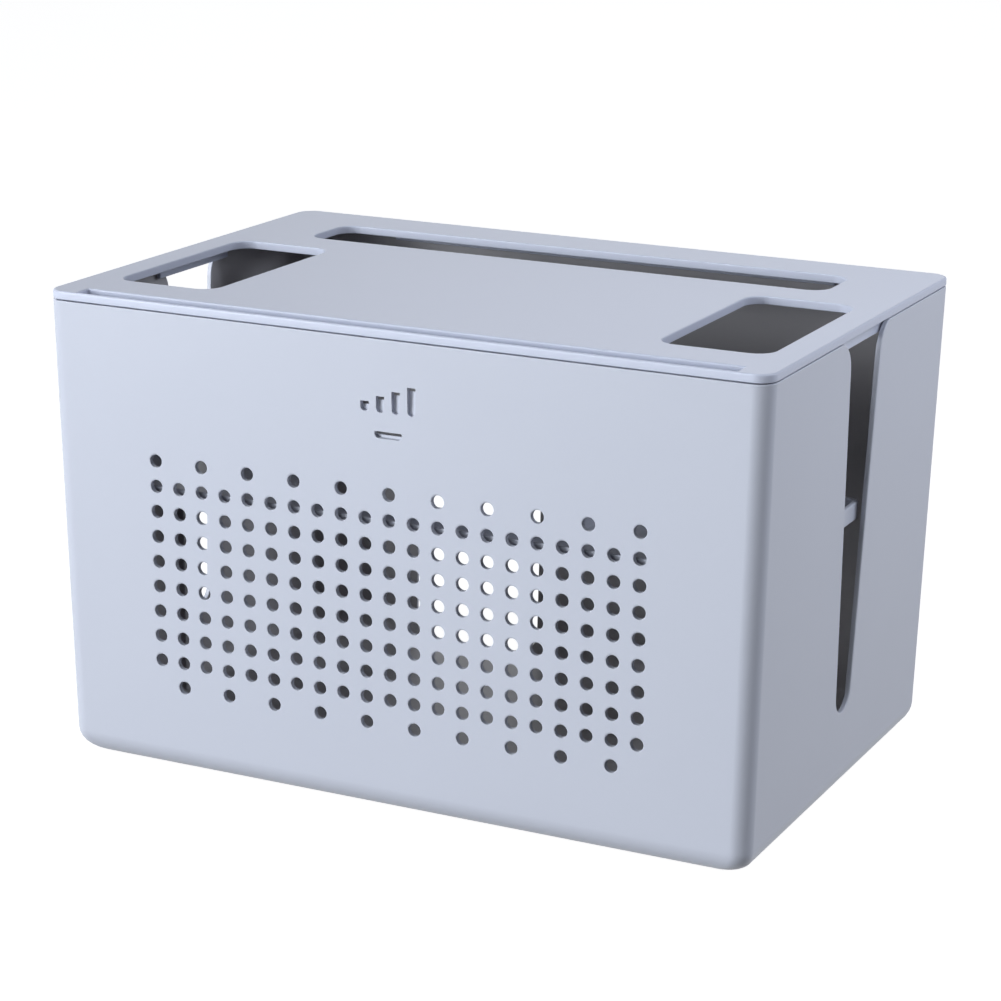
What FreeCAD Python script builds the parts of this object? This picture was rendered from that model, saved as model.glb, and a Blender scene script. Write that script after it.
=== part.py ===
import FreeCAD, Part
import math
import os

os.makedirs("parts", exist_ok=True)

# A desk box that hides a power strip and its leads, with a router shelf above them.
# Millimetres. Origin at the middle of the footprint, on the desk. +X is to the right seen
# from the front, +Y to the back, +Z up.

# Driving dimensions of the box
box_length = 294.0
box_depth = 199.0
box_height = 188.0
wall = 2.0
floor_thickness = 2.5
lid_thickness = 3.3
corner_radius = 7.0
base_radius = 10.0
draft_degrees = 1.22
overrun = 6.0
least_length = 0.01

# Shadow line between rim and lid
shadow_width = 0.9
shadow_height = 0.4

# Anti-slip pads in recesses under the floor
pad_diameter = 16.0
pad_proud = 1.0
pad_recess = 1.0
pad_gap = 0.25
pad_inset = 26.0
pad_sides = 24

# Field of round vents in the front wall
vent_diameter = 5.0
vent_sides = 8
vent_pitch = 10.0
vent_end_margin = 44.0
vent_top_drop = 58.5
vent_lowest = 31.0

# Level bars and status slot cut through the front wall above the vents
bar_count = 4
bar_width = 3.2
bar_pitch = 6.4
bar_drop = 27.7
bar_first_height = 5.6
bar_step = 4.6
status_length = 11.0
status_width = 3.2
status_drop = 8.0

# Cable slot in each side wall
slot_end_radius = 7.8
slot_bottom = 35.4
slot_flare_radius = 12.5
slot_mouth = 57.0

# Cable windows in the back wall, level with the floor inside
window_end_margin = 59.0
window_length = 59.0
window_below_shelf = 8.3
window_radius = 8.0

# Shelf and the ribs that carry it
shelf_seat = 108.3
shelf_clearance = 1.8
shelf_plate = 2.0
shelf_rim_height = 7.0
shelf_rim_width = 2.0
shelf_bar_depth = 25.0
shelf_wing_depth = 112.0
shelf_gap = 116.0
shelf_corner_radius = 5.0
rib_width = 2.4
rib_bearing = 5.0
side_rib_count = 3
side_rib_pitch = 32.0
side_rib_first = 10.0
front_rib_margin = 29.0

# Openings in the lid
hatch_end_margin = 12.2
hatch_length = 43.1
hatch_front_margin = 29.5
hatch_bridge = 19.5
hatch_radius = 8.0
rear_slot_end_margin = 33.0
rear_slot_back_margin = 24.0
rear_slot_width = 32.0
lid_soft_edge = 0.6

# Stand groove along the lid's front edge, stepped deeper behind the tub's wall
groove_end_margin = 13.0
groove_lip = 1.5
groove_width = 8.0
groove_front_depth = 2.2
groove_depth = 3.6
groove_floor = 1.6

# Locating lips under the lid
lip_clearance = 0.8
lip_thickness = 1.8
lip_depth = 5.1
side_lip_margin = 2.4
front_lip_margin = 37.0
rear_lip_margin = 47.0

# Heights and half sizes that follow
rim_height = box_height - lid_thickness
half_length = box_length / 2
half_depth = box_depth / 2
floor_top = pad_proud + floor_thickness
draft = math.tan(math.radians(draft_degrees))
slot_mouth_half = slot_mouth / 2
groove_half = half_length - groove_end_margin
bar_lowest = rim_height - bar_drop
status_height = bar_lowest - status_drop

# Rows and columns of vents that the front wall has room for
vent_top = rim_height - vent_top_drop
vent_rows = 1 + int((vent_top - vent_lowest) / vent_pitch)
vent_columns = 1 + 2 * int((half_length - vent_end_margin) / vent_pitch)


def point(x, y, z):
    return FreeCAD.Vector(x, y, z)


def lying(height):
    """Places an outline's (x, y) on a level plane."""
    return lambda x, y: point(x, y, height)


def facing(depth):
    """Places an outline's (x, z) on an upright plane across the box."""
    return lambda x, z: point(x, depth, z)


def rounded_wire(corners, radii, place):
    """A closed wire through the corners, each rounded by its own radius."""
    edges = []
    ends = []
    count = len(corners)
    for index, (u, v) in enumerate(corners):
        before = corners[index - 1]
        after = corners[(index + 1) % count]
        to_before = (before[0] - u, before[1] - v)
        to_after = (after[0] - u, after[1] - v)
        long_before = math.hypot(*to_before)
        long_after = math.hypot(*to_after)
        a = (to_before[0] / long_before, to_before[1] / long_before)
        b = (to_after[0] / long_after, to_after[1] / long_after)
        half_angle = math.acos(a[0] * b[0] + a[1] * b[1]) / 2
        reach = radii[index] / math.tan(half_angle)
        inward = (a[0] + b[0], a[1] + b[1])
        long_inward = math.hypot(*inward)
        depth = radii[index] / math.sin(half_angle) - radii[index]
        start = (u + a[0] * reach, v + a[1] * reach)
        middle = (u + inward[0] / long_inward * depth, v + inward[1] / long_inward * depth)
        end = (u + b[0] * reach, v + b[1] * reach)
        edges.append(Part.Arc(place(*start), place(*middle), place(*end)).toShape())
        ends.append((start, end))
    sides = []
    for index in range(count):
        from_end = ends[index][1]
        to_start = ends[(index + 1) % count][0]
        sides.append(edges[index])
        if math.hypot(to_start[0] - from_end[0], to_start[1] - from_end[1]) > least_length:
            sides.append(Part.LineSegment(place(*from_end), place(*to_start)).toShape())
    return Part.Wire(sides)


def many_sided(middle_u, middle_v, radius, sides, place):
    """A closed ring of equal sides with a flat side to the right."""
    ring = []
    for side in range(sides + 1):
        angle = (side + 0.5) * 2 * math.pi / sides
        ring.append(place(middle_u + radius * math.cos(angle), middle_v + radius * math.sin(angle)))
    return Part.makePolygon(ring)


def box_corners(low_u, low_v, high_u, high_v):
    return [(low_u, low_v), (high_u, low_v), (high_u, high_v), (low_u, high_v)]


def rounded_rectangle(low_u, low_v, high_u, high_v, radius, place):
    corners = box_corners(low_u, low_v, high_u, high_v)
    return rounded_wire(corners, [radius] * len(corners), place)


def raised(wire, direction):
    return Part.Face(wire).extrude(direction)


def lying_plate(half_x, half_y, radius, low, high):
    wire = rounded_rectangle(-half_x, -half_y, half_x, half_y, radius, lying(low))
    return raised(wire, point(0, 0, high - low))


def upright_bar(low, high):
    """A plain block between two opposite corners."""
    return Part.makeBox(high.x - low.x, high.y - low.y, high.z - low.z, low)


def draft_inset(height):
    """How far a wall stands inside the rim's outline at this height."""
    return (rim_height - height) * draft


def patch(rows, row_weights, column_weights):
    """A face from a grid of control points, each way of one straight or arc piece."""
    weights = [[u * v for v in column_weights] for u in row_weights]
    surface = Part.BSplineSurface()
    surface.buildFromPolesMultsKnots(rows, [len(rows)] * 2, [len(rows[0])] * 2, [0, 1], [0, 1],
                                     False, False, len(rows) - 1, len(rows[0]) - 1, weights)
    return surface.toShape()


def band_corner(half_along, half_across, radius, profile, weights):
    """The upright corner at the right end of a front wall, carried along the wall's profile."""
    middles = [point(half_along - inset - radius, inset + radius - half_across, height)
               for inset, height in profile]
    steps = [point(0, -radius, 0), point(radius, -radius, 0), point(radius, 0, 0)]
    rows = [[middle + step for middle in middles] for step in steps]
    return patch(rows, [1, math.cos(math.pi / 4), 1], weights)


def flat_side(half_along, half_across, radius, profile):
    """The flat front wall between its corners."""
    left = [point(inset + radius - half_along, inset - half_across, height) for inset, height in profile]
    right = [point(half_along - inset - radius, inset - half_across, height) for inset, height in profile]
    return Part.Face(Part.makePolygon(left + right[::-1] + left[:1]))


def round_side(half_along, half_across, radius, start, middle, end):
    """The rounded bottom edge of the front wall, trimmed where its corners start."""
    arc = Part.Arc(*[point(-half_along, inset - half_across, height)
                     for inset, height in (start, middle, end)]).toShape()
    whole = arc.extrude(point(2 * half_along, 0, 0))
    trim = []
    for inset, sign in ((end[0] - overrun, -1), (end[0] - overrun, 1), (start[0] + overrun, 1),
                        (start[0] + overrun, -1)):
        trim.append(point(sign * (half_along - inset - radius), inset - half_across, start[1] - overrun))
    height = end[1] - start[1] + 2 * overrun
    wedge = raised(Part.makePolygon(trim + trim[:1]), point(0, 0, height))
    return whole.common(wedge).Faces[0]


def drafted_block(half_x, half_y, radius, edge_radius, low, high, smooth):
    """A block that narrows downwards, its bottom edge rounded or else in two flats."""
    lean = math.radians(draft_degrees)
    turn = math.pi / 2 - lean
    reach = edge_radius * math.tan(turn / 2)
    foot = draft_inset(low)
    toe = (foot + reach, low)
    shoulder = (foot - reach * math.sin(lean), low + reach * math.cos(lean))
    brim = (draft_inset(high), high)
    middle = (toe[0] - edge_radius * math.sin(turn / 2), low + edge_radius * (1 - math.cos(turn / 2)))
    flats = [[shoulder, brim]] if smooth else [[shoulder, brim], [toe, middle], [middle, shoulder]]
    faces = []
    for quarter in range(4):
        along, across = (half_x, half_y) if quarter % 2 == 0 else (half_y, half_x)
        wall_faces = []
        for profile in flats:
            wall_faces.append(flat_side(along, across, radius, profile))
            wall_faces.append(band_corner(along, across, radius, profile, [1, 1]))
        if smooth:
            wall_faces.append(round_side(along, across, radius, toe, middle, shoulder))
            wall_faces.append(band_corner(along, across, radius, [toe, (foot, low), shoulder],
                                          [1, math.cos(turn / 2), 1]))
        for face in wall_faces:
            face.rotate(point(0, 0, 0), point(0, 0, 1), 90 * quarter)
        faces += wall_faces
    for inset, height in (toe, brim):
        faces.append(Part.Face(rounded_rectangle(inset - half_x, inset - half_y, half_x - inset,
                                                 half_y - inset, radius, lying(height))))
    skin = Part.makeCompound(faces)
    skin.sewShape()
    return Part.makeSolid(skin.Shells[0])


def tub_outside():
    return drafted_block(half_length, half_depth, corner_radius, base_radius, pad_proud, rim_height,
                         True)


def tub_inside():
    return drafted_block(half_length - wall, half_depth - wall, corner_radius - wall,
                         base_radius - wall, floor_top, rim_height + overrun, False)


def tub_mid_wall():
    """A block out to the middle of the walls and floor, where the ribs inside end."""
    return drafted_block(half_length - wall / 2, half_depth - wall / 2, corner_radius - wall / 2,
                         base_radius - wall / 2, pad_proud + floor_thickness / 2, rim_height, False)


def shadow_cutter():
    """The step in the rim's outer edge that shows as a thin dark line under the lid."""
    low = rim_height - shadow_height
    high = rim_height + overrun
    around = lying_plate(half_length + overrun, half_depth + overrun, corner_radius, low, high)
    kept = lying_plate(half_length - shadow_width, half_depth - shadow_width,
                       corner_radius - shadow_width, low, high)
    return around.cut(kept)


def slot_cutter():
    """One cutter through both side walls: round end, straight taper and flared mouth."""
    end_height = slot_bottom + slot_end_radius
    flare_height = rim_height - slot_flare_radius
    rise = flare_height - end_height
    reach = math.hypot(slot_mouth_half, rise)
    lean = math.acos((slot_end_radius + slot_flare_radius) / reach) - math.atan2(rise, slot_mouth_half)
    across = math.cos(lean)
    down = math.sin(lean)
    side_low = (slot_end_radius * across, end_height - slot_end_radius * down)
    side_high = (slot_mouth_half - slot_flare_radius * across, flare_height + slot_flare_radius * down)
    turn = math.pi * 3 / 4 - lean / 2
    flare_middle = (slot_mouth_half + slot_flare_radius * math.cos(turn),
                    flare_height + slot_flare_radius * math.sin(turn))
    above = rim_height + overrun
    start = -half_length - overrun

    def at(y, z):
        return point(start, y, z)

    right = [Part.LineSegment(at(*side_low), at(*side_high)).toShape(),
             Part.Arc(at(*side_high), at(*flare_middle), at(slot_mouth_half, rim_height)).toShape(),
             Part.LineSegment(at(slot_mouth_half, rim_height), at(slot_mouth_half, above)).toShape()]
    left = [Part.LineSegment(at(-slot_mouth_half, above), at(-slot_mouth_half, rim_height)).toShape(),
            Part.Arc(at(-slot_mouth_half, rim_height), at(-flare_middle[0], flare_middle[1]),
                     at(-side_high[0], side_high[1])).toShape(),
            Part.LineSegment(at(-side_high[0], side_high[1]), at(-side_low[0], side_low[1])).toShape()]
    top = Part.LineSegment(at(slot_mouth_half, above), at(-slot_mouth_half, above)).toShape()
    bottom = Part.Arc(at(-side_low[0], side_low[1]), at(0, slot_bottom), at(*side_low)).toShape()
    return raised(Part.Wire(right + [top] + left + [bottom]), point(box_length + 2 * overrun, 0, 0))


def vent_cutters():
    """Round vents on a square pitch; the first and last rows keep every second vent."""
    cutters = []
    left = -vent_pitch * (vent_columns - 1) / 2
    start = -half_depth - overrun
    through = point(0, draft_inset(floor_top) + wall + 2 * overrun, 0)
    for row in range(vent_rows):
        for column in range(vent_columns):
            if row == 0 and column % 2 == 1:
                continue
            if row == vent_rows - 1 and column % 2 == 0:
                continue
            ring = many_sided(left + column * vent_pitch, vent_top - row * vent_pitch,
                              vent_diameter / 2, vent_sides, facing(start))
            cutters.append(raised(ring, through))
    return cutters


def round_ended_cutter(low_x, low_z, high_x, high_z):
    """A slot with round ends through the front wall."""
    radius = min(high_x - low_x, high_z - low_z) / 2
    wire = rounded_rectangle(low_x, low_z, high_x, high_z, radius, facing(-half_depth - overrun))
    return raised(wire, point(0, wall + 2 * overrun, 0))


def bar_cutters():
    """Rising level bars, with one level slot under them."""
    cutters = []
    first = -bar_pitch * (bar_count - 1) / 2
    for index in range(bar_count):
        middle = first + index * bar_pitch
        top = bar_lowest + bar_first_height + index * bar_step
        cutters.append(round_ended_cutter(middle - bar_width / 2, bar_lowest, middle + bar_width / 2, top))
    cutters.append(round_ended_cutter(-status_length / 2, status_height - status_width / 2,
                                      status_length / 2, status_height + status_width / 2))
    return cutters


def window_cutters():
    cutters = []
    start = half_depth - draft_inset(floor_top) - base_radius - overrun
    through = point(0, base_radius + 2 * overrun, 0)
    outer = half_length - window_end_margin
    inner = outer - window_length
    top = shelf_seat - window_below_shelf
    for side in (-1, 1):
        low = min(side * inner, side * outer)
        high = max(side * inner, side * outer)
        wire = rounded_rectangle(low, floor_top, high, top, window_radius, facing(start))
        cutters.append(raised(wire, through))
    return cutters


def pad_places():
    """Name and place of each pad, in from the corners of the flat underside."""
    half_x = half_length - draft_inset(pad_proud) - pad_inset
    half_y = half_depth - draft_inset(pad_proud) - pad_inset
    return {"foot_pad_front_left": (-half_x, -half_y), "foot_pad_front_right": (half_x, -half_y),
            "foot_pad_back_left": (-half_x, half_y), "foot_pad_back_right": (half_x, half_y)}


def round_pad(place, radius, low, high):
    wire = many_sided(place[0], place[1], radius, pad_sides, lying(low))
    return raised(wire, point(0, 0, high - low))


def pad_recess_cutters():
    radius = pad_diameter / 2 + pad_gap
    return [round_pad(place, radius, pad_proud - overrun, pad_proud + pad_recess)
            for place in pad_places().values()]


def shelf_half_length():
    return half_length - wall - draft_inset(shelf_seat) - shelf_clearance


def shelf_front():
    return draft_inset(shelf_seat) + wall + shelf_clearance - half_depth


def shelf_ribs():
    """Upright ribs on the walls, level on top, that carry the shelf."""
    ribs = []
    reach = shelf_half_length() - rib_bearing
    for side in (-1, 1):
        for index in range(side_rib_count):
            middle = shelf_front() + side_rib_first + index * side_rib_pitch
            low_x = min(side * reach, side * half_length)
            high_x = max(side * reach, side * half_length)
            ribs.append(upright_bar(point(low_x, middle - rib_width / 2, pad_proud),
                                    point(high_x, middle + rib_width / 2, shelf_seat)))
        middle = side * (half_length - front_rib_margin)
        ribs.append(upright_bar(point(middle - rib_width / 2, -half_depth, pad_proud),
                                point(middle + rib_width / 2, shelf_front() + rib_bearing, shelf_seat)))
    return ribs


def make_tub():
    """One drafted moulding with its vents, slots, windows, ribs and pad recesses."""
    shell = tub_outside().cut(tub_inside())
    mid_wall = tub_mid_wall()
    ribs = [rib.common(mid_wall) for rib in shelf_ribs()]
    shell = shell.multiFuse(ribs).removeSplitter()
    shell = shell.cut(shadow_cutter())
    cutters = [slot_cutter()] + vent_cutters() + bar_cutters() + window_cutters() + pad_recess_cutters()
    return shell.cut(cutters)


def make_pad(place):
    return round_pad(place, pad_diameter / 2, 0, pad_proud + pad_recess)


def shelf_corners(inset):
    """The U-shaped outline, from the front left corner anticlockwise."""
    side = shelf_half_length() - inset
    front = shelf_front() + inset
    back = shelf_front() + shelf_wing_depth - inset
    bar_back = shelf_front() + shelf_bar_depth - inset
    gap = shelf_gap / 2 + inset
    return [(-side, front), (side, front), (side, back), (gap, back),
            (gap, bar_back), (-gap, bar_back), (-gap, back), (-side, back)]


def shelf_radii(inset):
    """Outer corners lose what the two corners inside the U gain."""
    outer = shelf_corner_radius - inset
    inner = shelf_corner_radius + inset
    return [outer, outer, outer, outer, inner, inner, outer, outer]


def shelf_block(inset, low, high):
    outline = rounded_wire(shelf_corners(inset), shelf_radii(inset), lying(low))
    return raised(outline, point(0, 0, high - low))


def make_shelf():
    """A U-shaped plate: the back and the middle stay open for leads."""
    return shelf_block(0, shelf_seat, shelf_seat + shelf_plate)


def make_shelf_rim():
    """The low rim round the plate, moulded with it and kept apart for its collision."""
    low = shelf_seat + shelf_plate
    high = shelf_seat + shelf_rim_height
    return shelf_block(0, low, high).cut(shelf_block(shelf_rim_width, low - overrun, high + overrun))


def lid_openings():
    """Two side hatches and the long rear slot, right through the lid."""
    low = rim_height - overrun
    through = point(0, 0, lid_thickness + 2 * overrun)
    slot_half = half_length - rear_slot_end_margin
    slot_back = half_depth - rear_slot_back_margin
    slot_front = slot_back - rear_slot_width
    hatch_outer = half_length - hatch_end_margin
    hatch_inner = hatch_outer - hatch_length
    cutters = []
    for side in (-1, 1):
        low_x = min(side * hatch_inner, side * hatch_outer)
        high_x = max(side * hatch_inner, side * hatch_outer)
        wire = rounded_rectangle(low_x, hatch_front_margin - half_depth, high_x,
                                 slot_front - hatch_bridge, hatch_radius, lying(low))
        cutters.append(raised(wire, through))
    wire = rounded_rectangle(-slot_half, slot_front, slot_half, slot_back, hatch_radius, lying(low))
    cutters.append(raised(wire, through))
    return cutters


def locating_lips():
    """Lips that drop inside the walls and stop the lid from sliding."""
    low = rim_height - lip_depth
    outer_x = half_length - wall - lip_clearance
    outer_y = half_depth - wall - lip_clearance
    inner_x = outer_x - lip_thickness
    inner_y = outer_y - lip_thickness
    side_half = slot_mouth_half - side_lip_margin
    front_half = half_length - front_lip_margin
    rear_half = half_length - rear_lip_margin
    return [upright_bar(point(-outer_x, -side_half, low), point(-inner_x, side_half, rim_height)),
            upright_bar(point(inner_x, -side_half, low), point(outer_x, side_half, rim_height)),
            upright_bar(point(-front_half, -outer_y, low), point(front_half, -inner_y, rim_height)),
            upright_bar(point(-rear_half, inner_y, low), point(rear_half, outer_y, rim_height))]


def groove_cutters():
    """The stand groove: shallow over the rim, one step deeper behind the tub's front wall."""
    front = groove_lip - half_depth
    back = front + groove_width
    step = wall + lip_clearance + lip_thickness - half_depth
    above = box_height + overrun
    return [upright_bar(point(-groove_half, front, box_height - groove_front_depth),
                        point(groove_half, back, above)),
            upright_bar(point(-groove_half, step, box_height - groove_depth),
                        point(groove_half, back, above))]


def groove_trough():
    """Extra thickness under the deeper part of the groove."""
    half = groove_half + lip_thickness
    front = wall + lip_clearance - half_depth
    back = groove_lip + groove_width + lip_thickness - half_depth
    return upright_bar(point(-half, front, box_height - groove_depth - groove_floor),
                       point(half, back, rim_height))


def make_lid():
    """Plate with softened edges, hatches, rear slot, stand groove and locating lips."""
    plate = lying_plate(half_length, half_depth, corner_radius, rim_height, box_height)
    plate = plate.cut(lid_openings())
    top_edges = [edge for edge in plate.Edges if edge.BoundBox.ZMin > box_height - least_length]
    plate = plate.makeChamfer(lid_soft_edge, top_edges)
    plate = plate.multiFuse(locating_lips() + [groove_trough()]).removeSplitter()
    return plate.cut(groove_cutters())


nodes = {"tub": make_tub(), "lid": make_lid(), "shelf": make_shelf(), "shelf_rim": make_shelf_rim()}
for pad_name, pad_place in pad_places().items():
    nodes[pad_name] = make_pad(pad_place)

for node_name, shape in nodes.items():
    solid = shape.Solids[0] if len(shape.Solids) == 1 else shape
    solid.exportStep("parts/" + node_name + ".step")
    print(node_name, "solids", len(shape.Solids), "valid", shape.isValid(), "volume", round(shape.Volume))
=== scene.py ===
"""The looks of a desk cable box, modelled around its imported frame. Metres, +Z up, +Y to the back."""
import logging
import math
from collections.abc import Callable
from dataclasses import dataclass
from enum import Enum

import bmesh
import bpy
from mathutils import Matrix, Vector


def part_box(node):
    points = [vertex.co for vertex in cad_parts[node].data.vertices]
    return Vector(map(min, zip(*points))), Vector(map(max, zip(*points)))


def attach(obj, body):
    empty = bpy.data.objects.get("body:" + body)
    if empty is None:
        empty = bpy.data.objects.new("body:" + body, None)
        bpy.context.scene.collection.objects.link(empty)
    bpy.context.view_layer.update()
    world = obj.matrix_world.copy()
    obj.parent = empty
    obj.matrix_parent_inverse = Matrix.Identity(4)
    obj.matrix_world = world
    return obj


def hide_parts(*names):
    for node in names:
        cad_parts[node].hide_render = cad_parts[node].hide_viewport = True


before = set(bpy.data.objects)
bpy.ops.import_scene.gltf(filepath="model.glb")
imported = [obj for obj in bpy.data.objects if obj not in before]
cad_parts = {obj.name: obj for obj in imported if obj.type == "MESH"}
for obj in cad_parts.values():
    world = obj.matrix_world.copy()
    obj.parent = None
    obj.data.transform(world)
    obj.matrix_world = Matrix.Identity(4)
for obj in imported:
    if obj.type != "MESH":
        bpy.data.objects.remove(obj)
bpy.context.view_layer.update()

log = logging.getLogger("cable_box")

MM = 0.001
LEAN = math.radians(1.22)
OVERRUN = 6 * MM
TOUCH = 0.02 * MM
LOOKS_DOWN = -0.3
WELD = 0.001 * MM


class Wall(Enum):
    """The wall that a cutter goes through, with the turns that point its +Z outwards."""

    TOP = (0.0, 0.0)
    FRONT = (math.pi / 2, 0.0)
    BACK = (math.pi / 2, math.pi)


class Operation(Enum):
    """How one solid acts on another."""

    CUT = "DIFFERENCE"
    JOIN = "UNION"
    TRIM = "INTERSECT"


def set_mode(mode: str) -> None:
    """Switches the active object to that mode."""
    bpy.ops.object.mode_set(mode=mode)


def clear_selection() -> None:
    """Deselects every object, so that the next operator acts on the new one alone."""
    bpy.ops.object.select_all(action="DESELECT")


def make_active(piece: bpy.types.Object) -> None:
    """Selects one object alone and makes it the active one."""
    clear_selection()
    piece.select_set(True)
    bpy.context.view_layer.objects.active = piece


def pick_verts(piece: bpy.types.Object, test: Callable[[Vector], bool]) -> None:
    """Selects, in edit mode, the vertices whose place passes the test.

    Args:
        piece: The object in edit mode.
        test: Takes a vertex's place and says whether to select it.
    """
    bpy.ops.mesh.select_mode(type="VERT")
    mesh = bmesh.from_edit_mesh(piece.data)
    for vert in mesh.verts:
        vert.select_set(test(vert.co))
    mesh.select_flush_mode()
    bmesh.update_edit_mesh(piece.data)


def pick_edges(piece: bpy.types.Object, test: Callable[[Vector, Vector], bool]) -> int:
    """Selects, in edit mode, the edges whose two ends pass the test.

    Args:
        piece: The object in edit mode.
        test: Takes both ends' places and says whether to select the edge.

    Returns:
        How many edges are selected.
    """
    bpy.ops.mesh.select_mode(type="EDGE")
    bpy.ops.mesh.select_all(action="DESELECT")
    mesh = bmesh.from_edit_mesh(piece.data)
    count = 0
    for edge in mesh.edges:
        if test(edge.verts[0].co, edge.verts[1].co):
            edge.select_set(True)
            count += 1
    bmesh.update_edit_mesh(piece.data)
    return count


def pick_faces(piece: bpy.types.Object, test: Callable[[Vector, Vector], bool]) -> None:
    """Selects, in edit mode, the faces whose middle and normal pass the test.

    Args:
        piece: The object in edit mode.
        test: Takes a face's middle and its normal and says whether to select it.
    """
    bpy.ops.mesh.select_mode(type="FACE")
    bpy.ops.mesh.select_all(action="DESELECT")
    mesh = bmesh.from_edit_mesh(piece.data)
    for face in mesh.faces:
        if test(face.calc_center_median(), face.normal):
            face.select_set(True)
    bmesh.update_edit_mesh(piece.data)


def settle(piece: bpy.types.Object) -> bpy.types.Object:
    """Puts an object's place, turn and size into its mesh.

    Args:
        piece: The object to settle.

    Returns:
        The same object, at the origin.
    """
    make_active(piece)
    bpy.ops.object.transform_apply(location=True, rotation=True, scale=True)
    return piece


def combine(target: bpy.types.Object, tool: bpy.types.Object, operation: Operation) -> None:
    """Cuts or joins a solid with another, which is then removed.

    Args:
        target: The solid that is kept.
        tool: The solid that acts on it.
        operation: Whether to cut or to join.
    """
    make_active(target)
    modifier = target.modifiers.new(operation.name.lower(), "BOOLEAN")
    modifier.operation = operation.value
    modifier.solver = "EXACT"
    modifier.object = tool
    bpy.ops.object.modifier_apply(modifier=modifier.name)
    bpy.data.objects.remove(tool)


def tidy_mesh(piece: bpy.types.Object) -> None:
    """Welds doubled points and removes loose ones after solids were combined."""
    make_active(piece)
    set_mode("EDIT")
    bpy.ops.mesh.select_all(action="SELECT")
    bpy.ops.mesh.remove_doubles(threshold=WELD)
    bpy.ops.mesh.dissolve_degenerate(threshold=WELD)
    set_mode("OBJECT")


def smooth(piece: bpy.types.Object, angle: float = math.radians(32)) -> None:
    """Shades roundings smooth and keeps flat faces flat.

    Args:
        piece: The finished mesh.
        angle: Edges sharper than this stay sharp.
    """
    make_active(piece)
    bpy.ops.object.shade_smooth_by_angle(angle=angle, keep_sharp_edges=True)
    modifier = piece.modifiers.new("even_shading", "WEIGHTED_NORMAL")
    modifier.keep_sharp = True
    modifier.weight = 100
    bpy.ops.object.modifier_apply(modifier=modifier.name)


def array(piece: bpy.types.Object, count: int, step: Vector) -> None:
    """Repeats a mesh in a row.

    Args:
        piece: The mesh to repeat.
        count: How many there are in the row.
        step: From one to the next.
    """
    make_active(piece)
    modifier = piece.modifiers.new("row", "ARRAY")
    modifier.count = count
    modifier.use_relative_offset = False
    modifier.use_constant_offset = True
    modifier.constant_offset_displace = step
    bpy.ops.object.modifier_apply(modifier=modifier.name)


def join_objects(pieces: list[bpy.types.Object], name: str) -> bpy.types.Object:
    """Makes one object of several.

    Args:
        pieces: The objects, of which the first is kept.
        name: What the joined object is called.

    Returns:
        The joined object.
    """
    make_active(pieces[0])
    for piece in pieces:
        piece.select_set(True)
    bpy.ops.object.join()
    pieces[0].name = name
    return pieces[0]


def rounding(radius: float, steps: int) -> list[tuple[float, float]]:
    """A quarter round as seen from a wall's plain face.

    Args:
        radius: The edge's radius.
        steps: How many straight steps stand for the quarter.

    Returns:
        Pairs of how far the edge falls back and how deep it lies, from the wall's face inwards.
    """
    pairs = []
    for step in range(steps + 1):
        turn = math.pi / 2 * step / steps
        pairs.append((radius * (1 - math.sin(turn)), radius * (1 - math.cos(turn))))
    return pairs


@dataclass
class RoundedStack:
    """A closed solid of level rounded rectangles, one above the other.

    Each ring keeps the corner radius, so that a wall with draft has even corners.
    """

    name: str
    half_x: float
    half_y: float
    radius: float
    rings: list[tuple[float, float]]
    segments: int = 8

    def build(self) -> bpy.types.Object:
        """Adds the lowest ring and raises it ring by ring.

        Returns:
            The solid, with its rings' heights along Z.
        """
        spread, height = self.rings[0]
        clear_selection()
        bpy.ops.mesh.primitive_plane_add(size=2, location=(0, 0, height))
        solid = bpy.context.object
        solid.name = self.name
        solid.scale = (self.half_x + spread, self.half_y + spread, 1)
        settle(solid)
        set_mode("EDIT")
        bpy.ops.mesh.select_all(action="SELECT")
        bpy.ops.mesh.bevel(offset=self.radius, offset_type="OFFSET", segments=self.segments,
                           affect="VERTICES", clamp_overlap=False)
        bpy.ops.mesh.select_all(action="SELECT")
        bpy.ops.mesh.remove_doubles(threshold=WELD)
        for (old_spread, old_height), (new_spread, new_height) in zip(self.rings, self.rings[1:]):
            self.pick_top(solid)
            bpy.ops.mesh.extrude_region_move(
                TRANSFORM_OT_translate={"value": (0, 0, new_height - old_height)})
            self.spread_ring(solid, new_spread - old_spread)
        bpy.ops.mesh.select_all(action="SELECT")
        bpy.ops.mesh.normals_make_consistent(inside=False)
        set_mode("OBJECT")
        return solid

    def pick_top(self, solid: bpy.types.Object) -> None:
        """Selects the face that was raised last."""
        bpy.ops.mesh.select_mode(type="FACE")
        bpy.ops.mesh.select_all(action="DESELECT")
        mesh = bmesh.from_edit_mesh(solid.data)
        mesh.faces.ensure_lookup_table()
        top = max(mesh.faces, key=lambda face: (face.calc_center_median().z, len(face.verts)))
        top.select_set(True)
        bmesh.update_edit_mesh(solid.data)

    def spread_ring(self, solid: bpy.types.Object, amount: float) -> None:
        """Moves the ring that was raised last outwards, each half along each direction.

        Args:
            solid: The solid in edit mode, with that ring selected.
            amount: How far it moves outwards; negative moves it inwards.
        """
        if abs(amount) < WELD:
            return
        mesh = bmesh.from_edit_mesh(solid.data)
        ring = {vert.index for vert in mesh.verts if vert.select}
        bpy.ops.mesh.select_mode(type="VERT")
        for axis in (0, 1):
            for side in (-1, 1):
                mesh = bmesh.from_edit_mesh(solid.data)
                for vert in mesh.verts:
                    vert.select_set(vert.index in ring and vert.co[axis] * side > 0)
                mesh.select_flush_mode()
                bmesh.update_edit_mesh(solid.data)
                move = Vector((0, 0, 0))
                move[axis] = side * amount
                bpy.ops.transform.translate(value=move)


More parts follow.
